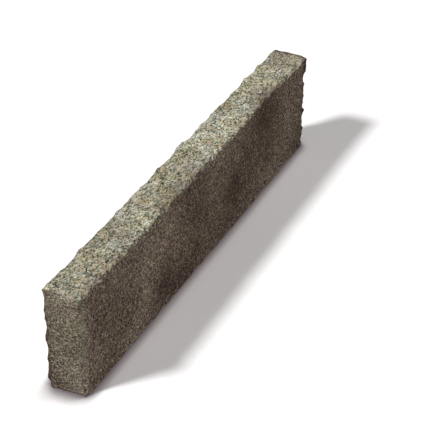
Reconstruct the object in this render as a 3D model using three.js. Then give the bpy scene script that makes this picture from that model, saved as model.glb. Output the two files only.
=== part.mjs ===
// Granite kerb stone, split from the block on every side and left as it broke.
//
// One solid stone, standing on its narrow bed. Millimetres, +Z up. +X runs along the kerb and +Y
// goes through it, from the front face to the back face. The origin is the middle of the bed.
//
// The stone starts as a straight block. Its arrises are worn round, its faces get the swells and
// shell-shaped hollows of split granite, and flakes are struck off along its arrises.

import * as THREE from 'three';
import { mergeVertices } from 'three/addons/utils/BufferGeometryUtils.js';

// ---------------------------------------------------------------- driving dimensions

const LENGTH = 1300;
const WIDTH = 112;
const HEIGHT = 300;

// How far the front face leans in from top to bed, at the near (-X) end and at the far (+X) end.
const FRONT_BATTER_NEAR = 6;
const FRONT_BATTER_FAR = 3;

// Radius to which each arris is worn. The front corner of the near end has taken the most knocks.
const ARRIS_RADIUS = { usual: 3, nearFrontUpright: 30, topFront: 18, topNear: 5, bedFront: 4 };

// Relief of the split faces: long swells, hand-sized hollows that run down the face the way the
// stone was split, and thumb-sized hollows. Seeds only choose where the hollows fall.
const SWELL = { waves: 7, longest: 420, shortest: 130, depth: 1.2 };
const SHELLS = [
  { wide: 92, tall: 166, depth: 3.4, seed: 3 },
  { wide: 41, tall: 41, depth: 1.6, seed: 11 },
];

// The relief dies out this close to an arris, where only the flakes break the line of the block.
const RELIEF_MARGIN = 16;

// Facets: the usual spacing of the stations, and the width of the finer band beside each arris.
const STATION_SPACING = { x: 16, y: 14, z: 16.5 };
const ARRIS_BAND = 11;

// Corners of the lattice closer than this are one corner.
const MERGE_TOLERANCE = 0.01;

// ---------------------------------------------------------------- the straight block

const HALF = new THREE.Vector3(LENGTH / 2, WIDTH / 2, HEIGHT / 2);

// Stations from one face to the opposite one: even in the middle, with the band beside each arris
// cut in two.
function stations(half, spacing) {
  const inner = half - ARRIS_BAND;
  const steps = Math.round((2 * inner) / spacing);
  const middle = Array.from({ length: steps + 1 }, (_, i) => -inner + (2 * inner * i) / steps);
  const arrisBandMiddle = half - ARRIS_BAND / 2;
  return [-half, -arrisBandMiddle, ...middle, arrisBandMiddle, half];
}

// A box whose lattice lines lie on the stations of each axis, centred on the origin.
function latticeBlock() {
  const lines = {
    x: stations(HALF.x, STATION_SPACING.x),
    y: stations(HALF.y, STATION_SPACING.y),
    z: stations(HALF.z, STATION_SPACING.z),
  };
  const cells = { x: lines.x.length - 1, y: lines.y.length - 1, z: lines.z.length - 1 };
  const box = new THREE.BoxGeometry(LENGTH, WIDTH, HEIGHT, cells.x, cells.y, cells.z);
  box.deleteAttribute('normal');
  box.deleteAttribute('uv');
  const block = mergeVertices(box, MERGE_TOLERANCE);
  const position = block.attributes.position;
  const point = new THREE.Vector3();
  for (let i = 0; i < position.count; i += 1) {
    point.fromBufferAttribute(position, i);
    for (const axis of ['x', 'y', 'z']) {
      const along = (point[axis] / HALF[axis] + 1) / 2;
      point[axis] = lines[axis][Math.round(along * cells[axis])];
    }
    position.setXYZ(i, point.x, point.y, point.z);
  }
  return block;
}

// ---------------------------------------------------------------- worn arrises

// The three arrises around a point's corner of the block: the radius of each, and its distance.
function arrisesAround(point) {
  const near = point.x < 0;
  const front = point.y < 0;
  const top = point.z > 0;
  const toX = HALF.x - Math.abs(point.x);
  const toY = HALF.y - Math.abs(point.y);
  const toZ = HALF.z - Math.abs(point.z);
  let along = ARRIS_RADIUS.usual;
  if (front) along = top ? ARRIS_RADIUS.topFront : ARRIS_RADIUS.bedFront;
  const across = near && top ? ARRIS_RADIUS.topNear : ARRIS_RADIUS.usual;
  const upright = near && front ? ARRIS_RADIUS.nearFrontUpright : ARRIS_RADIUS.usual;
  return [
    { radius: along, distance: Math.hypot(toY, toZ) },
    { radius: across, distance: Math.hypot(toX, toZ) },
    { radius: upright, distance: Math.hypot(toX, toY) },
  ];
}

// On an arris itself the distance is 0, and this keeps its weight finite.
const LEAST_SQUARED_DISTANCE = 1;

// The radius that holds at a point: a mean of the three, in which the nearest arris counts most.
function arrisRadius(point) {
  let sum = 0;
  let weights = 0;
  for (const { radius, distance } of arrisesAround(point)) {
    const weight = 1 / (distance * distance + LEAST_SQUARED_DISTANCE);
    sum += weight * radius;
    weights += weight;
  }
  return sum / weights;
}

// Moves a point of the block onto the rounded block, and returns the outward direction there.
function roundArris(point) {
  const radius = arrisRadius(point);
  const core = new THREE.Vector3(
    THREE.MathUtils.clamp(point.x, radius - HALF.x, HALF.x - radius),
    THREE.MathUtils.clamp(point.y, radius - HALF.y, HALF.y - radius),
    THREE.MathUtils.clamp(point.z, radius - HALF.z, HALF.z - radius),
  );
  const outward = point.clone().sub(core).normalize();
  point.copy(core).addScaledVector(outward, radius);
  return outward;
}

// ---------------------------------------------------------------- split faces

const GOLDEN_ANGLE = Math.PI * (3 - Math.sqrt(5));

// The waves rarely all rise at one point, so their sum is stretched to fill its range.
const SWELL_STRETCH = 1.6;

// The waves of the swell: directions spread evenly over a sphere, lengths falling by one ratio.
const swellWaves = Array.from({ length: SWELL.waves }, (_, i) => {
  const share = i / (SWELL.waves - 1);
  const height = 1 - (2 * i + 1) / SWELL.waves;
  const turn = GOLDEN_ANGLE * (i + 1);
  const ring = Math.sqrt(1 - height * height);
  const direction = new THREE.Vector3(ring * Math.cos(turn), ring * Math.sin(turn), height);
  const length = SWELL.longest * (SWELL.shortest / SWELL.longest) ** share;
  return { direction, length, phase: turn * 2, weight: length / SWELL.longest };
});

// Long undulation of a split face: a weighted mean of sine waves, from about -1 to 1.
function swell(point) {
  let sum = 0;
  let weights = 0;
  for (const { direction, length, phase, weight } of swellWaves) {
    sum += weight * Math.sin((2 * Math.PI * direction.dot(point)) / length + phase);
    weights += weight;
  }
  return (sum / weights) * SWELL_STRETCH;
}

// Unrelated factors that turn a cell's place and seed into a scattered number.
const SCATTER = { x: 127.1, y: 311.7, z: 74.7, seed: 19.19, stretch: 43758.5453 };

// A number from 0 to 1 that is always the same for the same lattice cell.
function cellNumber(x, y, z, seed) {
  const mixed = x * SCATTER.x + y * SCATTER.y + z * SCATTER.z + seed * SCATTER.seed;
  const value = Math.sin(mixed) * SCATTER.stretch;
  return value - Math.floor(value);
}

// Shell-shaped hollows that meet in ridges: the squared distance to the nearest of a set of points,
// one in each cell of a lattice, in cell sizes. 0 is the bottom of a hollow, 1 a high ridge. A cell
// is as wide along the stone as through it, and has its own height.
function shell(point, wide, tall, seed) {
  const q = new THREE.Vector3(point.x / wide, point.y / wide, point.z / tall);
  const cell = q.clone().floor();
  let nearest = 1;
  for (let dx = -1; dx <= 1; dx += 1) {
    for (let dy = -1; dy <= 1; dy += 1) {
      for (let dz = -1; dz <= 1; dz += 1) {
        const x = cell.x + dx;
        const y = cell.y + dy;
        const z = cell.z + dz;
        const centre = new THREE.Vector3(
          x + cellNumber(x, y, z, seed),
          y + cellNumber(x, y, z, seed + 1),
          z + cellNumber(x, y, z, seed + 2),
        );
        nearest = Math.min(nearest, q.distanceToSquared(centre));
      }
    }
  }
  return nearest;
}

// How far the split face lies below the straight block at a point.
function splitDepth(point) {
  let depth = SWELL.depth * (1 - swell(point));
  for (const { wide, tall, depth: full, seed } of SHELLS) {
    depth += full * (1 - shell(point, wide, tall, seed));
  }
  const toArris = Math.min(...arrisesAround(point).map(({ distance }) => distance));
  return Math.max(depth, 0) * THREE.MathUtils.smoothstep(toArris, 0, RELIEF_MARGIN);
}

// ---------------------------------------------------------------- flakes off the arrises

// Each arris has a middle point, a direction along it and one outward. Its flakes are rows of
// place from that middle, length along the arris and depth.
const TOP = HALF.z;
const ARRISES = [
  {
    name: 'top back',
    middle: [0, HALF.y, TOP],
    along: [1, 0, 0],
    outward: [0, 1, 1],
    flakes: [
      [-648, 70, 6.2], [-590, 140, 6.4], [-532, 120, 9.8], [-428, 150, 6.6], [-345, 150, 7.8],
      [-258, 140, 7], [-190, 120, 6], [-132, 130, 8.5], [-24, 130, 8], [108, 100, 9.2],
      [150, 80, 6], [206, 80, 8.4], [258, 90, 5.6], [325, 130, 8.2], [400, 110, 8.8],
      [497, 110, 7.8], [585, 140, 8.4], [648, 60, 8.5],
    ],
  },
  {
    name: 'top front',
    middle: [0, -HALF.y, TOP],
    along: [1, 0, 0],
    outward: [0, -1, 1],
    flakes: [
      [-640, 50, 8.5], [-577, 60, 12.5], [-535, 40, 9], [-451, 60, 10.5], [-388, 50, 10.5],
      [-325, 60, 10], [-230, 70, 13.5], [-157, 50, 10.5], [-110, 50, 10], [-73, 60, 10],
      [32, 80, 12], [100, 50, 10.5], [165, 60, 10.5], [215, 36, 9], [263, 50, 10],
      [310, 40, 9], [380, 60, 13.5], [452, 60, 11.5], [525, 50, 10], [590, 60, 11],
      [640, 36, 8.5],
    ],
  },
  {
    name: 'bed front',
    middle: [0, -HALF.y, -TOP],
    along: [1, 0, 0],
    outward: [0, -1, -1],
    flakes: [
      [-645, 36, 10], [-590, 80, 3], [-525, 60, 3.2], [-448, 50, 4.2], [-378, 40, 4.2],
      [-330, 44, 4.8], [-262, 60, 5.4], [-203, 40, 4.3], [-68, 72, 5], [14, 60, 4.2],
      [75, 50, 3.8], [126, 36, 4.8], [205, 60, 2.8], [300, 36, 2.6], [364, 54, 5.4],
      [510, 110, 5.5], [645, 30, 8],
    ],
  },
  {
    name: 'bed back',
    middle: [0, HALF.y, -TOP],
    along: [1, 0, 0],
    outward: [0, 1, -1],
    flakes: [
      [-560, 120, 6], [-402, 140, 8], [-250, 110, 5], [-96, 130, 7], [60, 110, 6], [188, 130, 7],
      [330, 130, 8], [470, 110, 5], [588, 120, 7],
    ],
  },
  {
    name: 'near back upright',
    middle: [-HALF.x, HALF.y, 0],
    along: [0, 0, 1],
    outward: [-1, 1, 0],
    flakes: [
      [108, 70, 5.6], [68, 50, 4], [33, 60, 6.4], [-36, 64, 6.4], [-85, 60, 4.2], [-146, 50, 8.5],
    ],
  },
  {
    name: 'near front upright',
    middle: [-HALF.x, -HALF.y, 0],
    along: [0, 0, 1],
    outward: [-1, -1, 0],
    flakes: [
      [112, 50, 14.5], [72, 44, 14], [30, 50, 15], [-12, 44, 14], [-60, 56, 15], [-108, 50, 14.5],
    ],
  },
  {
    name: 'far front upright',
    middle: [HALF.x, -HALF.y, 0],
    along: [0, 0, 1],
    outward: [1, -1, 0],
    flakes: [
      [80, 48, 11], [40, 60, 7.2], [8, 36, 8], [-12, 32, 10.5], [-56, 56, 8.8], [-77, 26, 11.5],
      [-102, 30, 7], [-128, 44, 9.5],
    ],
  },
  {
    name: 'far back upright',
    middle: [HALF.x, HALF.y, 0],
    along: [0, 0, 1],
    outward: [1, 1, 0],
    flakes: [
      [110, 80, 6], [40, 90, 7], [-38, 90, 5], [-110, 80, 7],
    ],
  },
  {
    name: 'top near',
    middle: [-HALF.x, 0, TOP],
    along: [0, 1, 0],
    outward: [-1, 0, 1],
    flakes: [
      [-2, 84, 17.5], [44, 30, 5], [-46, 30, 6],
    ],
  },
  {
    name: 'top far',
    middle: [HALF.x, 0, TOP],
    along: [0, 1, 0],
    outward: [1, 0, 1],
    flakes: [
      [-50, 20, 3], [-22, 36, 1.6], [24, 50, 1.6],
    ],
  },
  {
    name: 'bed near',
    middle: [-HALF.x, 0, -TOP],
    along: [0, 1, 0],
    outward: [-1, 0, -1],
    flakes: [
      [-18, 86, 6.6], [-38, 30, 8], [26, 30, 5.4],
    ],
  },
  {
    name: 'bed far',
    middle: [HALF.x, 0, -TOP],
    along: [0, 1, 0],
    outward: [1, 0, -1],
    flakes: [
      [22, 60, 6], [-28, 50, 5],
    ],
  },
];

// A flake comes away along part of a sphere. Its centre lies outside the arris, so that the sphere
// cuts the arris over the flake's length and reaches its depth halfway.
function flakeSphere(arris, [place, length, depth]) {
  const radius = ((length * length) / 4 + depth * depth) / (2 * depth);
  const outward = new THREE.Vector3(...arris.outward).normalize();
  const centre = new THREE.Vector3(...arris.middle)
    .addScaledVector(new THREE.Vector3(...arris.along), place)
    .addScaledVector(outward, radius - depth);
  return new THREE.Sphere(centre, radius);
}

const flakeSpheres = ARRISES.flatMap((arris) => arris.flakes.map((row) => flakeSphere(arris, row)));

// Pushes a point that a flake takes away back to the surface of the scar.
function strikeFlakes(point) {
  for (const { center, radius } of flakeSpheres) {
    const distance = point.distanceTo(center);
    if (distance < radius) point.sub(center).multiplyScalar(radius / distance).add(center);
  }
}

// ---------------------------------------------------------------- the stone

// The front face leans in towards the bed, more at the near end than at the far end.
function leanFront(point) {
  const low = (HALF.z - point.z) / HEIGHT;
  const towardFar = (point.x + HALF.x) / LENGTH;
  const batter = THREE.MathUtils.lerp(FRONT_BATTER_NEAR, FRONT_BATTER_FAR, towardFar);
  const front = (HALF.y - point.y) / WIDTH;
  point.y += batter * low * front;
}

// Where the surface faces down this squarely it is the bed, which is dressed flat.
const BED_FACING = -0.99;

function kerbStone() {
  const stone = latticeBlock();
  const position = stone.attributes.position;
  const point = new THREE.Vector3();
  for (let i = 0; i < position.count; i += 1) {
    point.fromBufferAttribute(position, i);
    const outward = roundArris(point);
    const depth = outward.z < BED_FACING ? 0 : splitDepth(point);
    strikeFlakes(point);
    point.addScaledVector(outward, -depth);
    leanFront(point);
    // Nothing hangs below the bed.
    point.z = Math.max(point.z, -HALF.z);
    position.setXYZ(i, point.x, point.y, point.z);
  }
  stone.computeBoundingBox();
  const { min, max } = stone.boundingBox;
  stone.translate(-(min.x + max.x) / 2, -(min.y + max.y) / 2, -min.z);
  stone.computeVertexNormals();
  return stone;
}

const granite = new THREE.MeshStandardMaterial({ color: 0x8f8a78, roughness: 0.92, metalness: 0 });

const kerbStoneMesh = new THREE.Mesh(kerbStone(), granite);
kerbStoneMesh.name = 'kerb_stone';

const part = new THREE.Group();
part.add(kerbStoneMesh);

export default part;
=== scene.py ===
import math

import bpy
import numpy as np
from mathutils import Matrix, Vector


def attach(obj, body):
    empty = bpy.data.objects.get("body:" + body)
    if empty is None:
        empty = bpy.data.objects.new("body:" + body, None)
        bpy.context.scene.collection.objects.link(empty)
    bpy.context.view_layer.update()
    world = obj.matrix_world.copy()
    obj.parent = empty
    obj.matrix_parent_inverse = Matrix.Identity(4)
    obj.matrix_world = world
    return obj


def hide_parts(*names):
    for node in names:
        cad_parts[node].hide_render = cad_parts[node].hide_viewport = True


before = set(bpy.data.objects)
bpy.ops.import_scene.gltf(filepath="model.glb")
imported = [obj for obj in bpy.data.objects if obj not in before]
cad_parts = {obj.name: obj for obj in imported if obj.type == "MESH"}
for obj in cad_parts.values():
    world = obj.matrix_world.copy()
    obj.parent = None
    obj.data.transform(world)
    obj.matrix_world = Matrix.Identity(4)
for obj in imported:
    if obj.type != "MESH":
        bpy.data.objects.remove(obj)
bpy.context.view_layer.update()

# ------------------------------------------------------------------------------------------------
# The kerb stone: one piece of grey-green granite, split from the block with wedges on every side.
# Its faces are left as they broke, its arrises are scalloped where flakes were struck off, and it
# stands on its narrow bed. Its shape is worked out in millimetres, about the middle of the block.
# ------------------------------------------------------------------------------------------------

# It starts as a straight block, 1.3 m long, with a skin of points a few millimetres apart.
STONE_SIZE = np.array([1300.0, 112.0, 300.0])
STONE_HALF = STONE_SIZE / 2
SKIN_SPACING = 3.5


def block_face(normal_axis, side):
    """One face of the straight block as a grid of two parameters, u and v, that run along the
    other two axes from face to face: the point is side * half on the normal axis, and u * half
    and v * half on the others. Returns the points, and the quads, wound to face outwards."""
    u_axis, v_axis = [(1, 2), (2, 0), (0, 1)][normal_axis]
    u_cells = round(STONE_SIZE[u_axis] / SKIN_SPACING)
    v_cells = round(STONE_SIZE[v_axis] / SKIN_SPACING)
    u, v = np.meshgrid(np.linspace(-1, 1, u_cells + 1), np.linspace(-1, 1, v_cells + 1), indexing="ij")
    points = np.empty(u.shape + (3,))
    points[..., normal_axis] = side * STONE_HALF[normal_axis]
    points[..., u_axis] = u * STONE_HALF[u_axis]
    points[..., v_axis] = v * STONE_HALF[v_axis]
    index = np.arange(u.size).reshape(u.shape)
    quads = np.stack([index[:-1, :-1], index[1:, :-1], index[1:, 1:], index[:-1, 1:]], -1)
    quads = quads.reshape(-1, 4)
    return points.reshape(-1, 3), quads if side > 0 else quads[:, ::-1]


def straight_block():
    """The six faces as one closed skin. Where two faces meet, points that agree to a hundredth of
    a millimetre become one."""
    points, quads, count = [], [], 0
    for normal_axis in (0, 1, 2):
        for side in (-1, 1):
            face_points, face_quads = block_face(normal_axis, side)
            points.append(face_points)
            quads.append(face_quads + count)
            count += len(face_points)
    points = np.concatenate(points)
    hundredths = np.round(points * 100).astype(np.int64)
    _, first, inverse = np.unique(hundredths, axis=0, return_index=True, return_inverse=True)
    return points[first], inverse.reshape(-1)[np.concatenate(quads)]


# Its arrises are blunt, and most of all the top front one and the upright at the near front corner.
USUAL_RADIUS = 3.0
NEAR_FRONT_UPRIGHT_RADIUS = 30.0
TOP_FRONT_RADIUS = 18.0
TOP_NEAR_RADIUS = 5.0
BED_FRONT_RADIUS = 4.0
LEAST_SQUARED_DISTANCE = 1.0


def arrises_around(points):
    """The radii of the three arrises around each point's corner of the block, and the distances to
    them: the arris along X, the one across in Y, and the upright."""
    near, front, top = points[:, 0] < 0, points[:, 1] < 0, points[:, 2] > 0
    to_x, to_y, to_z = (STONE_HALF - np.abs(points)).T
    radii = np.stack([
        np.where(front, np.where(top, TOP_FRONT_RADIUS, BED_FRONT_RADIUS), USUAL_RADIUS),
        np.where(near & top, TOP_NEAR_RADIUS, USUAL_RADIUS),
        np.where(near & front, NEAR_FRONT_UPRIGHT_RADIUS, USUAL_RADIUS)])
    return radii, np.stack([np.hypot(to_y, to_z), np.hypot(to_x, to_z), np.hypot(to_x, to_y)])


def round_arrises(points):
    """Each point goes to the surface of a ball that is rolled inside the block: core = the point
    clamped to the block less the radius, result = core + radius * outward. The radius is the mean
    of the three around the corner, each weighted by 1 / (squared distance + the least one)."""
    radii, distances = arrises_around(points)
    weights = 1 / (distances ** 2 + LEAST_SQUARED_DISTANCE)
    radius = ((weights * radii).sum(0) / weights.sum(0))[:, None]
    core = np.clip(points, radius - STONE_HALF, STONE_HALF - radius)
    outward = points - core
    outward /= np.linalg.norm(outward, axis=1, keepdims=True)
    return core + radius * outward, outward


# Its faces swell and sink a little over their length.
SWELL_WAVES = 7
SWELL_LONGEST = 420.0
SWELL_SHORTEST = 130.0
SWELL_DEPTH = 1.2
SWELL_GAIN = 1.6


def swell(points):
    """Long undulation: a weighted sum of sines of (2 pi * direction . point / length + phase), with
    directions on a golden-angle spiral over the sphere and lengths that fall by one ratio."""
    golden_angle = math.pi * (3 - math.sqrt(5))
    total, weights = 0, 0
    for i in range(SWELL_WAVES):
        height = 1 - (2 * i + 1) / SWELL_WAVES
        turn = golden_angle * (i + 1)
        ring = math.sqrt(1 - height * height)
        direction = np.array([ring * math.cos(turn), ring * math.sin(turn), height])
        length = SWELL_LONGEST * (SWELL_SHORTEST / SWELL_LONGEST) ** (i / (SWELL_WAVES - 1))
        weight = length / SWELL_LONGEST
        total = total + weight * np.sin(2 * math.pi * (points @ direction) / length + 2 * turn)
        weights += weight
    return total / weights * SWELL_GAIN


# Unrelated factors that turn a cell's place and its seed into a scattered number.
SCATTER = np.array([127.1, 311.7, 74.7])
SCATTER_OF_SEED = 19.19
SCATTER_STRETCH = 43758.5453


def cell_number(cells, seed):
    """A number from 0 to 1 for each lattice cell: the fraction of
    stretch * sin(cell . scatter + seed * its factor)."""
    value = np.sin(cells @ SCATTER + seed * SCATTER_OF_SEED) * SCATTER_STRETCH
    return value - np.floor(value)


def shell(points, wide, tall, seed):
    """Hollows that meet in ridges: the squared distance, in cell sizes and at most 1, to the
    nearest of a set of centres, one at a fixed random place in each cell of a lattice."""
    scaled = points / (wide, wide, tall)
    cell = np.floor(scaled)
    nearest = np.ones(len(points))
    for step in np.ndindex(3, 3, 3):
        neighbour = cell + np.array(step) - 1
        jitter = np.stack([cell_number(neighbour, seed + k) for k in range(3)], 1)
        nearest = np.minimum(nearest, ((scaled - neighbour - jitter) ** 2).sum(1))
    return nearest


# The faces broke in shell-shaped hollows. The large ones are the size of a hand and of an egg, and
# die out over a margin beside an arris. The small ones are the size of a thumbnail and of a pea.
# Each row is a hollow's width, height and depth, and its seed.
LARGE_SHELLS = ((92.0, 166.0, 3.4, 3), (41.0, 41.0, 1.6, 11))
SMALL_SHELLS = ((19.0, 19.0, 1.1, 23), (9.5, 9.5, 0.6, 31))
RELIEF_MARGIN = 16.0
SMALL_SHELL_MIDDLE = 0.45
SMALL_SHARE_AT_ARRIS = 0.4
SMALL_SHARE_ON_END = 0.35
END_TOLERANCE = 1.0

# Small chips break the arrises, most of all the top front one.
CHIP_SIZE = 15.0
CHIP_DEPTH, CHIP_REACH = 2.4, 8.0
TOP_FRONT_CHIP_DEPTH, TOP_FRONT_CHIP_REACH = 12.0, 14.0
CHIP_MIDDLE = 0.34
CHIP_SEED = 47


def split_depth(points):
    """How far the split face lies below the straight block, as a sum of three parts. The swell and
    the large shells are each a full depth * (1 - its value), and their sum, kept above 0, is
    multiplied by a smooth step from 0 at an arris to 1 past the margin. The small shells are
    full depth * (middle - shell), so they stand out as well as go in, and they are weaker beside
    an arris and on the ends. The chips are like them, and their depth falls by
    exp(-(distance / reach)^2) away from the arris."""
    depth = SWELL_DEPTH * (1 - swell(points))
    for wide, tall, full, seed in LARGE_SHELLS:
        depth = depth + full * (1 - shell(points, wide, tall, seed))
    to_arris = arrises_around(points)[1].min(0)
    share = np.clip(to_arris / RELIEF_MARGIN, 0, 1)
    depth = np.maximum(depth, 0) * share * share * (3 - 2 * share)
    on_end = np.abs(points[:, 0]) > STONE_HALF[0] - END_TOLERANCE
    away = SMALL_SHARE_AT_ARRIS + (1 - SMALL_SHARE_AT_ARRIS) * share
    small_share = np.where(on_end, SMALL_SHARE_ON_END, away)
    for wide, tall, full, seed in SMALL_SHELLS:
        depth = depth + small_share * full * (SMALL_SHELL_MIDDLE - shell(points, wide, tall, seed))
    to_top_front = np.hypot(STONE_HALF[1] + points[:, 1], STONE_HALF[2] - points[:, 2])
    chip_depth = np.maximum(TOP_FRONT_CHIP_DEPTH * np.exp(-(to_top_front / TOP_FRONT_CHIP_REACH) ** 2),
                            CHIP_DEPTH * np.exp(-(to_arris / CHIP_REACH) ** 2))
    return depth + chip_depth * (CHIP_MIDDLE - shell(points, CHIP_SIZE, CHIP_SIZE, CHIP_SEED))


# Flakes were struck off each arris. The key is the outward direction of the arris, and each row is
# a flake's place from the middle of the arris, its length and its depth.
FLAKES = {
    # top back
    (0, 1, 1): (
        (-648, 70, 6.2), (-590, 140, 6.4), (-532, 120, 9.8), (-428, 150, 6.6), (-345, 150, 7.8),
        (-258, 140, 7), (-190, 120, 6), (-132, 130, 8.5), (-24, 130, 8), (108, 100, 9.2),
        (150, 80, 6), (206, 80, 8.4), (258, 90, 5.6), (325, 130, 8.2), (400, 110, 8.8),
        (497, 110, 7.8), (585, 140, 8.4), (648, 60, 8.5)),
    # top front
    (0, -1, 1): (
        (-640, 50, 8.5), (-577, 60, 12.5), (-535, 40, 9), (-451, 60, 10.5), (-388, 50, 10.5),
        (-325, 60, 10), (-230, 70, 13.5), (-157, 50, 10.5), (-110, 50, 10), (-73, 60, 10),
        (32, 80, 12), (100, 50, 10.5), (165, 60, 10.5), (215, 36, 9), (263, 50, 10),
        (310, 40, 9), (380, 60, 13.5), (452, 60, 11.5), (525, 50, 10), (590, 60, 11),
        (640, 36, 8.5)),
    # bed front
    (0, -1, -1): (
        (-645, 36, 10), (-590, 80, 3), (-525, 60, 3.2), (-448, 50, 4.2), (-378, 40, 4.2),
        (-330, 44, 4.8), (-262, 60, 5.4), (-203, 40, 4.3), (-68, 72, 5), (14, 60, 4.2),
        (75, 50, 3.8), (126, 36, 4.8), (205, 60, 2.8), (300, 36, 2.6), (364, 54, 5.4),
        (510, 110, 5.5), (645, 30, 8)),
    # bed back
    (0, 1, -1): (
        (-560, 120, 6), (-402, 140, 8), (-250, 110, 5), (-96, 130, 7), (60, 110, 6), (188, 130, 7),
        (330, 130, 8), (470, 110, 5), (588, 120, 7)),
    # near back upright
    (-1, 1, 0): (
        (108, 70, 5.6), (68, 50, 4), (33, 60, 6.4), (-36, 64, 6.4), (-85, 60, 4.2), (-146, 50, 8.5)),
    # near front upright
    (-1, -1, 0): (
        (112, 50, 14.5), (72, 44, 14), (30, 50, 15), (-12, 44, 14), (-60, 56, 15),
        (-108, 50, 14.5)),
    # far front upright
    (1, -1, 0): (
        (80, 48, 11), (40, 60, 7.2), (8, 36, 8), (-12, 32, 10.5), (-56, 56, 8.8), (-77, 26, 11.5),
        (-102, 30, 7), (-128, 44, 9.5)),
    # far back upright
    (1, 1, 0): ((110, 80, 6), (40, 90, 7), (-38, 90, 5), (-110, 80, 7)),
    # top near, top far, bed near and bed far
    (-1, 0, 1): ((-2, 84, 17.5), (44, 30, 5), (-46, 30, 6)),
    (1, 0, 1): ((-50, 20, 3), (-22, 36, 1.6), (24, 50, 1.6)),
    (-1, 0, -1): ((-18, 86, 6.6), (-38, 30, 8), (26, 30, 5.4)),
    (1, 0, -1): ((22, 60, 6), (-28, 50, 5)),
}


def strike_flakes(points):
    """Pushes what a flake takes away back to its scar, part of a sphere: radius =
    (length^2 / 4 + depth^2) / (2 depth), centre = (radius - depth) outside the arris, and a point
    inside the sphere moves straight away from the centre to its surface."""
    points = points.copy()
    for key, flakes in FLAKES.items():
        along = np.array([float(part == 0) for part in key])
        outward = np.array(key) / math.sqrt(2)
        for place, length, depth in flakes:
            radius = (length * length / 4 + depth * depth) / (2 * depth)
            centre = np.array(key) * STONE_HALF + along * place + outward * (radius - depth)
            away = points - centre
            distance = np.linalg.norm(away, axis=1)
            struck = distance < radius
            points[struck] = centre + away[struck] * (radius / distance[struck])[:, None]
    return points


# The front face leans in towards the bed, more at the near end than at the far end.
FRONT_BATTER_NEAR = 6.0
FRONT_BATTER_FAR = 3.0


def lean_front(points):
    """The front face leans in: y grows by the batter, times the share of the way down, times the
    share of the way to the front. The batter changes evenly from the near end to the far end."""
    low = (STONE_HALF[2] - points[:, 2]) / STONE_SIZE[2]
    toward_far = (points[:, 0] + STONE_HALF[0]) / STONE_SIZE[0]
    batter = FRONT_BATTER_NEAR + (FRONT_BATTER_FAR - FRONT_BATTER_NEAR) * toward_far
    front = (STONE_HALF[1] - points[:, 1]) / STONE_SIZE[1]
    return points + np.stack([0 * low, batter * low * front, 0 * low], 1)


# The bed is dressed flat where the skin faces down this squarely, and nothing hangs below it.
BED_FACING = -0.99

block, quads = straight_block()
rounded, outward = round_arrises(block)
depth = np.where(outward[:, 2] < BED_FACING, 0, split_depth(rounded))
struck = strike_flakes(rounded)
skin = lean_front(struck - outward * depth[:, None])
skin[:, 2] = np.maximum(skin[:, 2], -STONE_HALF[2])

# It stands on the floor with its middle over the origin. The mesh is in metres.
MM_IN_METRE = 1000
skin -= ((skin.min(0) + skin.max(0)) / 2) * (1, 1, 0)
skin[:, 2] += STONE_HALF[2]
mesh = bpy.data.meshes.new("kerb_stone_skin")
mesh.from_pydata(skin / MM_IN_METRE, [], quads)
mesh.shade_smooth()
stone = bpy.data.objects.new("kerb_stone_skin", mesh)
bpy.context.scene.collection.objects.link(stone)

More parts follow.
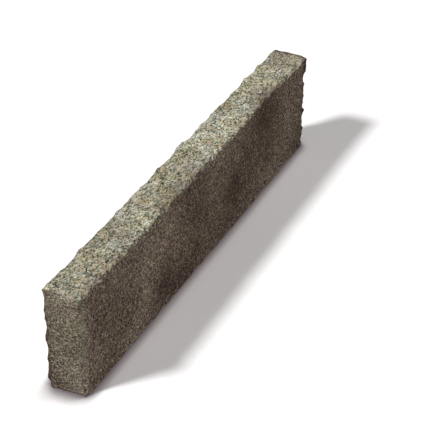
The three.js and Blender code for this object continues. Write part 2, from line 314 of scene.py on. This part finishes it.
# Soil, weather and painted shading. The sides and ends carry a thin brown film, of soil and of painted
# shade, while the top is washed clean. Patches are partly where more or less of the film has stayed
# and partly painted light and shade that stands in for the relief and the shape of the faces: the
# middle and the half size of each in x, y and z, and its tone, below 0 for dark and above 0 for pale.
FILM_AND_PAINTED_SHADING_PATCHES = (
    # front face
    ((-610, -56, 60), (45, 50, 60), 0.24),
    ((-590, -56, 286), (80, 40, 12), 0.20),
    ((-560, -56, 160), (40, 50, 35), -0.28),
    ((-490, -56, 185), (35, 50, 30), -0.22),
    ((-400, -56, 25), (60, 50, 45), 0.48),
    ((-500, -56, 26), (140, 40, 26), 0.18),
    ((-338, -56, 120), (42, 50, 125), 0.62),
    ((-240, -56, 205), (62, 50, 60), 0.46),
    ((-240, -56, 82), (50, 50, 50), -0.46),
    ((-160, -56, 28), (110, 50, 45), -0.36),
    ((-60, -56, 185), (60, 50, 90), -0.36),
    ((-100, -56, 272), (90, 40, 28), -0.32),
    ((50, -56, 275), (85, 40, 32), 0.24),
    ((315, -56, 285), (55, 40, 26), -0.32),
    ((110, -56, 25), (110, 50, 40), -0.24),
    ((180, -56, 115), (80, 50, 60), -0.53),
    ((235, -56, 195), (70, 50, 55), -0.25),
    ((375, -56, 235), (80, 60, 85), -0.60),
    ((480, -56, 215), (45, 50, 60), -0.14),
    ((385, -56, 110), (35, 50, 35), -0.30),
    ((430, -56, 32), (70, 50, 42), 0.36),
    ((550, -56, 115), (50, 50, 95), 0.34),
    ((620, -56, 25), (50, 50, 45), -0.28),
    # top
    ((-565, -42, 300), (70, 20, 30), -0.58),
    ((-635, 2, 300), (25, 16, 30), -0.28),
    ((-500, 46, 300), (110, 16, 30), -0.18),
    ((-560, 50, 300), (50, 40, 30), 0.11),
    ((-370, 30, 300), (60, 25, 30), -0.28),
    ((-370, -32, 300), (50, 24, 30), -0.32),
    ((-280, -20, 300), (32, 30, 30), 0.60),
    ((-230, -50, 300), (60, 30, 20), -0.22),
    ((-125, -30, 300), (50, 18, 30), -0.36),
    ((0, -36, 300), (70, 18, 30), -0.38),
    ((150, -30, 300), (28, 24, 30), 0.30),
    ((95, 30, 300), (55, 22, 30), 0.34),
    ((205, -4, 300), (45, 25, 30), 0.34),
    ((325, -18, 300), (28, 20, 30), 0.42),
    ((390, 30, 300), (70, 22, 30), 0.34),
    ((410, -50, 300), (60, 26, 20), -0.31),
    ((570, -20, 300), (36, 22, 30), -0.32),
    ((625, 30, 300), (50, 38, 30), -0.40),
    ((0, 44, 300), (2000, 8, 30), 0.18),
    ((0, -38, 300), (2000, 9, 30), 0.08),
    # near end, with painted shade along its bed and low on its back edge
    ((-650, 46, 40), (40, 24, 50), -0.32),
    ((-650, -50, 290), (16, 12, 10), 0.2),
    ((-650, -50, 20), (20, 12, 16), 0.12),
    ((-650, 10, 8), (40, 60, 26), -0.40),
    ((-650, 0, 70), (40, 70, 55), -0.14),
    ((-650, 40, 190), (40, 14, 24), -0.30),
    ((-650, -14, 250), (40, 18, 20), -0.20),
    ((-650, -50, 175), (24, 10, 60), 0.24),
    ((-650, -8, 150), (40, 44, 44), -0.26),
    ((-650, 4, 275), (40, 26, 14), 0.2),
    # far end
    ((650, 12, 70), (40, 30, 45), -0.30),
    ((650, 0, 175), (40, 28, 35), 0.24),
    ((650, 25, 235), (40, 26, 35), -0.20),
    # back face
    ((-520, 56, 90), (90, 50, 55), 0.32),
    ((-400, 56, 200), (75, 50, 50), -0.34),
    ((-260, 56, 55), (110, 50, 45), -0.38),
    ((-170, 56, 195), (60, 50, 55), 0.34),
    ((-10, 56, 120), (60, 50, 75), -0.26),
    ((130, 56, 60), (85, 50, 50), 0.40),
    ((225, 56, 200), (85, 50, 50), -0.40),
    ((360, 56, 80), (60, 50, 60), 0.26),
    ((465, 56, 190), (70, 50, 55), 0.24),
    ((560, 56, 60), (70, 50, 50), -0.38),
)

# Dark lines run down the far front upright and the near back one, in patches of the same form.
UPRIGHT_DARK_LINES = (((649, -60, 130), (9, 9, 110), -1.4), ((-654, 55, 150), (7, 7, 400), -1.4))


def patched(points, patches):
    """The tone that patches give: a sum of strength * exp(-squared distance from the patch's
    middle, in half sizes)."""
    total = np.zeros(len(points))
    for middle, half_size, strength in patches:
        total += strength * np.exp(-(((points - middle) / half_size) ** 2).sum(1))
    return total


tone = patched(skin, FILM_AND_PAINTED_SHADING_PATCHES)
normals = np.empty(len(skin) * 3)
mesh.vertex_normals.foreach_get("vector", normals)
normals = normals.reshape(-1, 3)
below_top = STONE_SIZE[2] - skin[:, 2]

# The film is whole below a border near the top, thins out above it, and leaves what faces up bare.
FILM_WHOLE, FILM_FADE = 34.0, 8.0
FILM_FACING, FILM_FACING_FADE = 0.8, 0.035
# Where the film lies, its colour is partly soil and partly painted shade.
soil_and_shade_film = np.minimum(1 - (FILM_WHOLE - below_top) / FILM_FADE,
                       (FILM_FACING - normals[:, 2]) / FILM_FACING_FADE)

# The ends count as such by how squarely they face along the stone.
END_GAIN, END_LEAST = 1.4, 0.3
end_face = np.clip(np.abs(normals[:, 0]) * END_GAIN - END_LEAST, 0, 1)

# Painted light makes the blunt near front upright pale, and fades out just below the top.
NEAR_FRONT_PAINTED_LIGHT = 0.924
NEAR_FRONT_PAINTED_LIGHT_FADE = 40
near, front = np.clip(-normals[:, :2], 0, 1).T
tone += NEAR_FRONT_PAINTED_LIGHT * near * front ** 2 * np.clip(below_top / NEAR_FRONT_PAINTED_LIGHT_FADE, 0, 1)

# The arrises at the back and at the far end are darkened in mottled patches, but not the flat of the
# back and of the far end themselves. A facing is the part of the normal along an axis.
FAR_ARRIS_DARKENING, BACK_ARRIS_DARKENING = 0.91, 0.8775
FAR_DARKENING_FROM, FAR_DARKENING_FROM_ON_TOP, FAR_DARKENING_FADE = 634, 640, 7
TOP_FACING = 0.5
BACK_FACING, BACK_FACING_FADE = 0.36, 0.2
FLAT_FACING, FLAT_FACING_FADE = 0.97, 0.1
MOTTLE_SIZE, MOTTLE_SEED = 13, 53
MOTTLE_MOST, MOTTLE_RANGE = 1.45, 1.5
DARKEST = -0.78
far_from = np.where(normals[:, 2] > TOP_FACING, FAR_DARKENING_FROM_ON_TOP, FAR_DARKENING_FROM)
far_darkening = FAR_ARRIS_DARKENING * np.clip((skin[:, 0] - far_from) / FAR_DARKENING_FADE, 0, 1)
back_darkening = BACK_ARRIS_DARKENING * np.clip((normals[:, 1] - BACK_FACING) / BACK_FACING_FADE, 0, 1)
beside_flat = np.clip((FLAT_FACING - normals[:, :2].max(1)) / FLAT_FACING_FADE, 0, 1)
mottle = MOTTLE_MOST - MOTTLE_RANGE * shell(skin, MOTTLE_SIZE, MOTTLE_SIZE, MOTTLE_SEED)
tone += patched(skin, UPRIGHT_DARK_LINES) * mottle
tone -= np.maximum(far_darkening, back_darkening) * mottle * beside_flat
tone = np.maximum(tone, DARKEST)

# The top front arris has small chips, and just below the top the film carries dark and pale specks:
# painted shade of small undercuts and painted light on small chips.
CHIP_SHADING_REACH = 28.0
to_top_front = np.hypot(skin[:, 1] - skin[:, 1].min(), below_top)
chipped = np.exp(-(to_top_front / TOP_FRONT_CHIP_REACH) ** 2)
chip_shading_zone = np.exp(-(below_top / CHIP_SHADING_REACH) ** 2)
for name, values in (("tone", tone), ("soil_and_shade_film", soil_and_shade_film), ("end_face", end_face),
                     ("chipped", chipped), ("chip_shading_zone", chip_shading_zone)):
    mesh.attributes.new(name, "FLOAT", "POINT").data.foreach_set("value", values.astype(np.float32))

# Granite, dull and rough. The functions that follow add nodes to the tree that `nodes` and `links`
# belong to, and a value that they are given is a socket or a fixed number, vector or colour.
GRANITE_ROUGHNESS = 0.9
GRANITE_SHINE = 0.08
granite = bpy.data.materials.new("granite")
granite.use_nodes = True
nodes, links = granite.node_tree.nodes, granite.node_tree.links
shader = nodes["Principled BSDF"]
shader.inputs["Roughness"].default_value = GRANITE_ROUGHNESS
shader.inputs["Specular IOR Level"].default_value = GRANITE_SHINE


def plug(value, socket):
    """Gives a socket its value: a link from another socket, or a fixed one. Colours are opaque."""
    if isinstance(value, bpy.types.NodeSocket):
        links.new(value, socket)
    else:
        socket.default_value = (*value, 1) if socket.type == "RGBA" else value


def attribute(name):
    """The number that the mesh carries under a name."""
    node = nodes.new("ShaderNodeAttribute")
    node.attribute_name = name
    return node.outputs["Fac"]


def arithmetic(kind, operation, values):
    """One step of arithmetic on the values, in a node for numbers or in one for vectors."""
    node = nodes.new(kind)
    node.operation = operation
    for value, socket in zip(values, node.inputs):
        plug(value, socket)
    return node.outputs[0]


def number_math(operation, *values):
    """One step of arithmetic on numbers."""
    return arithmetic("ShaderNodeMath", operation, values)


def vector_math(operation, *values):
    """One step of arithmetic on vectors."""
    return arithmetic("ShaderNodeVectorMath", operation, values)


# A seed moves the crystals by that many of these steps, in metres.
SEED_STEP = (0.37, 0.11, 0.23)


def crystals(vector, size, seed):
    """Crystals of a size in millimetres, as Voronoi cells. Returns two numbers from 0 to 1 that
    each crystal has for itself."""
    node = nodes.new("ShaderNodeTexVoronoi")
    node.inputs["Scale"].default_value = MM_IN_METRE / size
    plug(vector_math("ADD", vector, tuple(step * seed for step in SEED_STEP)), node.inputs["Vector"])
    numbers = nodes.new("ShaderNodeSeparateColor")
    links.new(node.outputs["Color"], numbers.inputs[0])
    return numbers.outputs[0], numbers.outputs[1]


def noise(vector, size, detail=3, roughness=0.55):
    """Soft noise with patches of a size in millimetres."""
    node = nodes.new("ShaderNodeTexNoise")
    node.inputs["Scale"].default_value = MM_IN_METRE / size
    node.inputs["Detail"].default_value = detail
    node.inputs["Roughness"].default_value = roughness
    links.new(vector, node.inputs["Vector"])
    return node.outputs


def ramp(number, stops):
    """Turns a number into a colour, or a grey, that changes evenly from stop to stop."""
    node = nodes.new("ShaderNodeValToRGB")
    elements = node.color_ramp.elements
    elements.remove(elements[1])
    for i, (place, colour) in enumerate(stops):
        element = elements[0] if i == 0 else elements.new(place)
        element.position = place
        element.color = (*colour, 1) if isinstance(colour, tuple) else (colour, colour, colour, 1)
    links.new(number, node.inputs[0])
    return node.outputs[0]


def blend(kind, factor, first, second):
    """Mixes two colours by a factor from 0 to 1."""
    node = nodes.new("ShaderNodeMix")
    node.data_type = "RGBA"
    node.blend_type = kind
    plug(factor, node.inputs[0])
    plug(first, node.inputs[6])
    plug(second, node.inputs[7])
    return node.outputs[2]


# Crystals have wavy edges. On the washed top they look drawn out along the stone, while the grit on
# the sides looks squeezed along it. The wobble is in metres.
WOBBLE = 0.004
WOBBLE_SIZE = 2.4
DRAWN_OUT = 1.5
SQUEEZED = 1.3
here = nodes.new("ShaderNodeTexCoord").outputs["Object"]
waves = noise(here, WOBBLE_SIZE, detail=2, roughness=0.6)["Color"]
wavy = vector_math("ADD", here, vector_math("MULTIPLY", waves, (WOBBLE,) * 3))
squeezed = vector_math("MULTIPLY", wavy, (SQUEEZED, 1, 1))
drawn = vector_math("MULTIPLY", wavy, (1 / DRAWN_OUT, 1, 1))

# The rock is a mosaic of quartz and feldspar, with some large crystals and flecks of black mica.
SMOKY_QUARTZ = (0.081, 0.065, 0.050)
GREEN_QUARTZ = (0.153, 0.169, 0.114)
PLAGIOCLASE = (0.262, 0.273, 0.211)
BUFF_FELDSPAR = (0.378, 0.319, 0.186)
PINK_FELDSPAR = (0.392, 0.298, 0.224)
CREAM_FELDSPAR = (0.420, 0.394, 0.294)
PALE_FELDSPAR = (0.544, 0.546, 0.446)
BLACK_MICA = (0.024, 0.017, 0.014)
MOSAIC_SIZE, LARGE_SIZE, FLECK_SIZE = 3.4, 7.0, 2.9
MOSAIC = ((0.00, SMOKY_QUARTZ), (0.20, GREEN_QUARTZ), (0.42, PLAGIOCLASE), (0.58, BUFF_FELDSPAR),
          (0.66, PINK_FELDSPAR), (0.76, CREAM_FELDSPAR), (0.92, PALE_FELDSPAR),
          (1.00, PALE_FELDSPAR))
LARGE_KINDS = ((0.00, GREEN_QUARTZ), (0.30, PLAGIOCLASE), (0.60, PALE_FELDSPAR),
               (0.85, BUFF_FELDSPAR), (1.00, PINK_FELDSPAR))
LARGE_SHARE = ((0.70, 0.0), (0.72, 0.7))
FLECK_SHARE = ((0.855, 0.0), (0.87, 0.95))
mosaic = ramp(crystals(drawn, MOSAIC_SIZE, seed=1)[0], MOSAIC)
kind, presence = crystals(drawn, LARGE_SIZE, seed=2)
rock = blend("MIX", ramp(presence, LARGE_SHARE), mosaic, ramp(kind, LARGE_KINDS))
fleck = crystals(drawn, FLECK_SIZE, seed=3)[0]
rock = blend("MIX", ramp(fleck, FLECK_SHARE), rock, BLACK_MICA)

# Some places are paler than others, and rust has tinged some of the stone warm.
CLOUD_SIZE, TINGE_SIZE = 55, 60
CLOUDS = ((0.30, (0.72, 0.70, 0.67)), (0.45, (0.97, 0.96, 0.94)), (0.58, (1.11, 1.10, 1.11)),
          (0.72, (1.40, 1.39, 1.43)))
TINGES = ((0.36, (1.035, 1.0, 0.93)), (0.62, (0.97, 1.0, 1.065)))
rock = blend("MULTIPLY", 1.0, rock, ramp(noise(here, CLOUD_SIZE)["Fac"], CLOUDS))
rock = blend("MULTIPLY", 1.0, rock, ramp(noise(here, TINGE_SIZE, detail=2)["Fac"], TINGES))

# The soil film hides a share of the crystals' colour and has a grit of its own. Its stains are partly
# real and partly painted shade, which keeps the sides, and the ends more so, darker than the top. On
# the sides the grit is coarse, with painted shade and light of small chips just below the top. On the
# ends it is fine and lies in slanting ripples.
SOIL = (0.205, 0.165, 0.130)
SIDE_COVER, END_COVER = 0.35, 0.48
SIDE_CRYSTAL, END_CRYSTAL = 2.6, 1.7
SIDE_GRIT_SIZE, END_GRIT_SIZE, CHIP_SHADING_SIZE = 3.8, 2.5, 5.0
SIDE_GRIT = ((0.0, 0.04), (0.25, 0.625), (0.6, 1.0), (0.85, 1.345), (1.0, 2.61))
END_GRIT = ((0.34, 0.10), (0.44, 0.64), (0.50, 1.0), (0.56, 1.37), (0.66, 2.68))
GRIT_LEAN = (0.90, 1.055, 1.0)
CHIP_SHADING_TONES = ((0.0, 0.35), (0.5, 1.0), (1.0, 2.1))
SIDE_STAIN_SIZE, END_STAIN_SIZE = 110, 34
SIDE_STAIN_AND_SHADE = ((0.32, (0.76, 0.638, 0.62)), (0.50, (0.86, 0.728, 0.72)), (0.68, (0.95, 0.81, 0.82)))
END_STAIN_AND_SHADE = ((0.32, (0.566, 0.530, 0.512)), (0.50, (0.691, 0.663, 0.649)),
             (0.68, (0.816, 0.798, 0.784)))
RIPPLE_LENGTH = 2.3
RIPPLE_SLANT = math.radians(24)


def under_film(cover, crystal, speckle, grit, stain_size, stain_and_shade, seed):
    """Crystals mixed with a share of soil, times a grit, times wide stains, which are partly painted
    shade. A pale speck of grit is a little greener and a dark one a little redder: each channel is
    1 + lean * (grey - 1)."""
    shown = blend("MIX", cover, ramp(crystals(wavy, crystal, seed)[0], MOSAIC), SOIL)
    coloured = [(place, tuple(1 + lean * (grey - 1) for lean in GRIT_LEAN)) for place, grey in grit]
    shown = blend("MULTIPLY", 1.0, shown, ramp(speckle, coloured))
    stains = noise(here, stain_size, detail=4, roughness=0.6)["Fac"]
    return blend("MULTIPLY", 1.0, shown, ramp(stains, stain_and_shade))


specks = crystals(squeezed, SIDE_GRIT_SIZE, seed=5)[0]
side = under_film(SIDE_COVER, SIDE_CRYSTAL, specks, SIDE_GRIT, SIDE_STAIN_SIZE, SIDE_STAIN_AND_SHADE, seed=4)
# Dark and pale specks just below the top: painted shade of small undercuts and painted light on small
# chips.
chip_shading = ramp(crystals(squeezed, CHIP_SHADING_SIZE, seed=14)[0], CHIP_SHADING_TONES)
side = blend("MULTIPLY", attribute("chip_shading_zone"), side, chip_shading)
ripples = nodes.new("ShaderNodeMapping")
ripples.vector_type = "TEXTURE"
ripples.inputs["Rotation"].default_value = (RIPPLE_SLANT, 0, 0)
ripples.inputs["Scale"].default_value = (1, RIPPLE_LENGTH, 1)
links.new(here, ripples.inputs["Vector"])
rippled = noise(ripples.outputs[0], END_GRIT_SIZE, detail=2)["Fac"]
end = under_film(END_COVER, END_CRYSTAL, rippled, END_GRIT, END_STAIN_SIZE, END_STAIN_AND_SHADE, seed=6)
soiled_and_shaded = blend("MIX", attribute("end_face"), side, end)

# The film's upper border has teeth as large as the crystals. Each row is a size, and how much the
# teeth of that size can add to the film, which is then kept between 0 and 1.
FILM_TEETH = ((8.5, 2.4), (3.4, 2.4))
film = attribute("soil_and_shade_film")
for tooth_size, reach in FILM_TEETH:
    film = number_math("MULTIPLY_ADD", crystals(wavy, tooth_size, seed=12)[0], reach, film)
film.node.use_clamp = True
rock = blend("MIX", film, rock, soiled_and_shaded)

# Each small crystal leans a little to pink, blue, yellow or green.
LEANING_SIZE = 2.2
LEANINGS = ((0.0, (1.11, 0.925, 1.10)), (0.35, (0.98, 0.985, 1.15)), (0.65, (1.03, 1.01, 0.85)),
            (1.0, (0.89, 1.075, 0.90)))
rock = blend("MULTIPLY", 1.0, rock, ramp(crystals(wavy, LEANING_SIZE, seed=9)[0], LEANINGS))

# A pale patch is greyer and a dark one is browner: each channel is 1 + its lean * the tone.
TONE_LEAN = (0.90, 1.0, 1.0)
toned = vector_math("MULTIPLY_ADD", attribute("tone"), TONE_LEAN, (1.0, 1.0, 1.0))
links.new(blend("MULTIPLY", 1.0, rock, toned), shader.inputs["Base Color"])

# The surface is grainy, and has small chips beside the top front arris. The depth of the relief is
# in metres, and that of the chips is in depths of the grain.
RELIEF_STRENGTH, RELIEF_DEPTH = 0.6, 0.0012
GRAIN_SIZE = 2.6
SMALL_CHIP_SIZE = 8.0
SMALL_CHIP_DEPTH = 3.0
chips = nodes.new("ShaderNodeTexVoronoi")
chips.inputs["Scale"].default_value = MM_IN_METRE / SMALL_CHIP_SIZE
links.new(wavy, chips.inputs["Vector"])
chips_there = blend("MULTIPLY", 1.0, chips.outputs["Distance"], attribute("chipped"))
grain = noise(here, GRAIN_SIZE, detail=4, roughness=0.7)["Fac"]
relief = nodes.new("ShaderNodeBump")
relief.inputs["Strength"].default_value = RELIEF_STRENGTH
relief.inputs["Distance"].default_value = RELIEF_DEPTH
plug(number_math("MULTIPLY_ADD", chips_there, SMALL_CHIP_DEPTH, grain), relief.inputs["Height"])
links.new(relief.outputs[0], shader.inputs["Normal"])

mesh.materials.append(granite)
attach(stone, "root")
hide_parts("kerb_stone")

# ------------------------------------------------------------------------------------------------
# The studio floor: a plain matt white sheet that runs out of sight, with the stone's shadow on it.
# Painted shade darkens the sheet close to the stone, under its edges and beside its ends. A faint
# glow of painted light makes up what the stone hides of the other light, so the shadow keeps one tone.
# ------------------------------------------------------------------------------------------------

FLOOR_HALF = 30.0
corners = np.array([(-1, -1, 0), (1, -1, 0), (1, 1, 0), (-1, 1, 0)]) * FLOOR_HALF
floor_mesh = bpy.data.meshes.new("floor")
floor_mesh.from_pydata(corners, [], [(0, 1, 2, 3)])
floor = bpy.data.objects.new("floor", floor_mesh)
bpy.context.scene.collection.objects.link(floor)

paper = bpy.data.materials.new("white_paper")
paper.use_nodes = True
nodes, links = paper.node_tree.nodes, paper.node_tree.links
nodes.clear()

OPENNESS_SAMPLES = 8


def openness(reach):
    """The share of the sky above the floor that nothing hides within a reach in metres."""
    node = nodes.new("ShaderNodeAmbientOcclusion")
    node.samples = OPENNESS_SAMPLES
    node.inputs["Distance"].default_value = reach
    return node.outputs["AO"]


def map_range(number, start, end, most=1.0, interpolation="SMOOTHSTEP"):
    """A number that is 0 where the given one is at the start, the most where it is at the end, in
    between where it is in between, and level beyond both."""
    node = nodes.new("ShaderNodeMapRange")
    node.interpolation_type = interpolation
    plug(number, node.inputs["Value"])
    plug(start, node.inputs["From Min"])
    plug(end, node.inputs["From Max"])
    plug(most, node.inputs["To Max"])
    return node.outputs[0]


# Painted shade darkens the sheet beside the ends of the stone, and not in front of it or behind
# it. It is darkest beside the back corner of an end. Places and widths are across the stone.
SHADE_REACH = 0.079
SHADE_TONES = ((0.55, 0.14), (0.70, 0.16), (0.80, 0.41), (0.85, 0.76), (0.89, 0.95), (0.92, 1.0))
SHADE_MIDDLE, SHADE_HALF, SHADE_FADE = 0.003, 0.071, 0.014
CORNER_FROM, CORNER_TO, CORNER_SHADE = 0.010, 0.045, 0.036
floor_point = nodes.new("ShaderNodeSeparateXYZ")
links.new(nodes.new("ShaderNodeTexCoord").outputs["Object"], floor_point.inputs[0])
along, across = floor_point.outputs["X"], floor_point.outputs["Y"]
aside = number_math("ABSOLUTE", number_math("SUBTRACT", across, SHADE_MIDDLE))
beside_end = map_range(aside, SHADE_HALF + SHADE_FADE, SHADE_HALF - SHADE_FADE)
by_corner = map_range(across, CORNER_FROM, CORNER_TO, CORNER_SHADE)
shut_in = number_math("SUBTRACT", openness(SHADE_REACH), by_corner)
shade = blend("MIX", beside_end, (1.0, 1.0, 1.0), ramp(shut_in, SHADE_TONES))

FLOOR_WHITE = 0.95
lit = nodes.new("ShaderNodeBsdfDiffuse")
links.new(blend("MULTIPLY", 1.0, shade, (FLOOR_WHITE,) * 3), lit.inputs["Color"])

# The glow is painted light: the shadow's tone, with painted shade under the edges of the stone, less
# what the room and the front light give the floor there. Beyond its far end the stone hides a part of
# the front light.
SHADOW_TONE = (0.440, 0.418, 0.413)
CONTACT_REACH = 0.045
CONTACT_TONES = ((0.55, (0.26, 0.21, 0.22)), (0.70, (0.55, 0.52, 0.53)), (0.88, (0.97, 0.96, 0.96)),
                 (0.94, (1.0, 1.0, 1.0)))
ROOM_REACH = 1.5
ROOM_LIGHT_ON_FLOOR = (0.33, 0.33, 0.33)
FRONT_LIGHT_ON_FLOOR = (0.105, 0.100, 0.095)
FRONT_LIGHT_BEYOND = (0.067, 0.062, 0.057)
BEYOND_FROM, BEYOND_TO = 0.10, 0.75
contact = ramp(openness(CONTACT_REACH), CONTACT_TONES)
wanted = blend("MULTIPLY", 1.0, contact, SHADOW_TONE)
room_light = blend("MULTIPLY", 1.0, openness(ROOM_REACH), ROOM_LIGHT_ON_FLOOR)
beyond = map_range(along, BEYOND_FROM, BEYOND_TO, interpolation="LINEAR")
front_light = blend("MIX", beyond, FRONT_LIGHT_ON_FLOOR, FRONT_LIGHT_BEYOND)
given = blend("MULTIPLY", 1.0, blend("ADD", 1.0, room_light, front_light), shade)
glow = nodes.new("ShaderNodeEmission")
links.new(blend("SUBTRACT", 1.0, wanted, given), glow.inputs["Color"])
seen = nodes.new("ShaderNodeAddShader")
links.new(lit.outputs[0], seen.inputs[0])
links.new(glow.outputs[0], seen.inputs[1])

# What the sheet throws back at the stone is greyer than what the camera sees of it.
FLOOR_GREY_TO_THE_STONE = 0.30
bounce = nodes.new("ShaderNodeBsdfDiffuse")
plug((FLOOR_GREY_TO_THE_STONE,) * 3, bounce.inputs["Color"])
path = nodes.new("ShaderNodeLightPath")
choose = nodes.new("ShaderNodeMixShader")
links.new(path.outputs["Is Camera Ray"], choose.inputs[0])
links.new(bounce.outputs[0], choose.inputs[1])
links.new(seen.outputs[0], choose.inputs[2])
links.new(choose.outputs[0], nodes.new("ShaderNodeOutputMaterial").inputs[0])
floor_mesh.materials.append(paper)

# ------------------------------------------------------------------------------------------------
# The light: a round softbox high up behind the stone and beyond its near end, a broad one overhead,
# a weak one beside the camera, and a pale room that shows white to the camera.
# ------------------------------------------------------------------------------------------------

# The light of the round softbox is even: it keeps one strength at every distance.
KEY_PLACE = (-6.37, 4.84, 9.59)
KEY_DIAMETER = 1.87
KEY_STRENGTH = 9.05
key_light = bpy.data.lights.new("key_softbox", "AREA")
key_light.shape = "DISK"
key_light.size = KEY_DIAMETER
key_light.energy = KEY_STRENGTH
key_light.use_nodes = True
nodes, links = key_light.node_tree.nodes, key_light.node_tree.links
even = nodes.new("ShaderNodeLightFalloff")
even.inputs["Strength"].default_value = 1.0
links.new(even.outputs["Constant"], nodes["Emission"].inputs["Strength"])
key_lamp = bpy.data.objects.new("key_softbox", key_light)
key_lamp.location = KEY_PLACE
key_lamp.rotation_euler = Vector(KEY_PLACE).to_track_quat("Z", "Y").to_euler()
bpy.context.scene.collection.objects.link(key_lamp)


def far_softbox(name, strength, spread):
    """A softbox so far off that its light comes from one direction, with a spread in radians. It
    shines straight down until it is turned."""
    light = bpy.data.lights.new(name, "SUN")
    light.energy = strength
    light.angle = spread
    lamp = bpy.data.objects.new(name, light)
    bpy.context.scene.collection.objects.link(lamp)
    return lamp


OVERHEAD_STRENGTH = 0.4
OVERHEAD_SPREAD = math.radians(80)
far_softbox("overhead_softbox", OVERHEAD_STRENGTH, OVERHEAD_SPREAD)

FRONT_DIRECTION = (-0.75, -0.50, 0.42)
FRONT_STRENGTH = 0.5
FRONT_SPREAD = math.radians(40)
front_lamp = far_softbox("front_softbox", FRONT_STRENGTH, FRONT_SPREAD)
front_lamp.rotation_euler = Vector(FRONT_DIRECTION).to_track_quat("Z", "Y").to_euler()

ROOM_STRENGTH = 0.22
WHITE = (1, 1, 1)
room = bpy.data.worlds.new("room")
room.use_nodes = True
nodes, links = room.node_tree.nodes, room.node_tree.links
walls = nodes["Background"]
plug(WHITE, walls.inputs["Color"])
walls.inputs["Strength"].default_value = ROOM_STRENGTH
white = nodes.new("ShaderNodeBackground")
plug(WHITE, white.inputs["Color"])
path = nodes.new("ShaderNodeLightPath")
seen_or_mirrored = number_math("MAXIMUM", path.outputs["Is Camera Ray"], path.outputs["Is Glossy Ray"])
any_of_three = number_math("MAXIMUM", seen_or_mirrored, path.outputs["Is Transmission Ray"])
choose = nodes.new("ShaderNodeMixShader")
links.new(any_of_three, choose.inputs[0])
links.new(walls.outputs[0], choose.inputs[1])
links.new(white.outputs[0], choose.inputs[2])
links.new(choose.outputs[0], nodes["World Output"].inputs[0])
bpy.context.scene.world = room

# ------------------------------------------------------------------------------------------------
# The camera: a long lens that looks down along the stone, from beyond its near end and in front of
# it. Its pitch and yaw are in radians, and it aims a little to the right of the origin and above it.
# ------------------------------------------------------------------------------------------------

CAMERA_PITCH = 0.59377
CAMERA_YAW = 0.45416
CAMERA_DISTANCE = 4.07760
AIM_RIGHT = 0.05850
AIM_UP = 0.10770
FOCAL_PIXELS, FRAME_PIXELS = 1500, 424
SENSOR = 36.0

forward = np.array([math.cos(CAMERA_YAW) * math.cos(CAMERA_PITCH),
                    math.sin(CAMERA_YAW) * math.cos(CAMERA_PITCH),
                    -math.sin(CAMERA_PITCH)])
right = np.array([math.sin(CAMERA_YAW), -math.cos(CAMERA_YAW), 0])
up = np.cross(right, forward)
camera_place = right * AIM_RIGHT + up * AIM_UP - forward * CAMERA_DISTANCE
camera_data = bpy.data.cameras.new("camera")
camera_data.sensor_width = SENSOR
camera_data.lens = SENSOR * (FOCAL_PIXELS / FRAME_PIXELS)
camera = bpy.data.objects.new("camera", camera_data)
bpy.context.scene.collection.objects.link(camera)
pose = np.identity(4)
pose[:3] = np.stack([right, up, -forward, camera_place], 1)
camera.matrix_world = Matrix(pose)
bpy.context.scene.camera = camera
bpy.context.scene.view_settings.view_transform = "Standard"
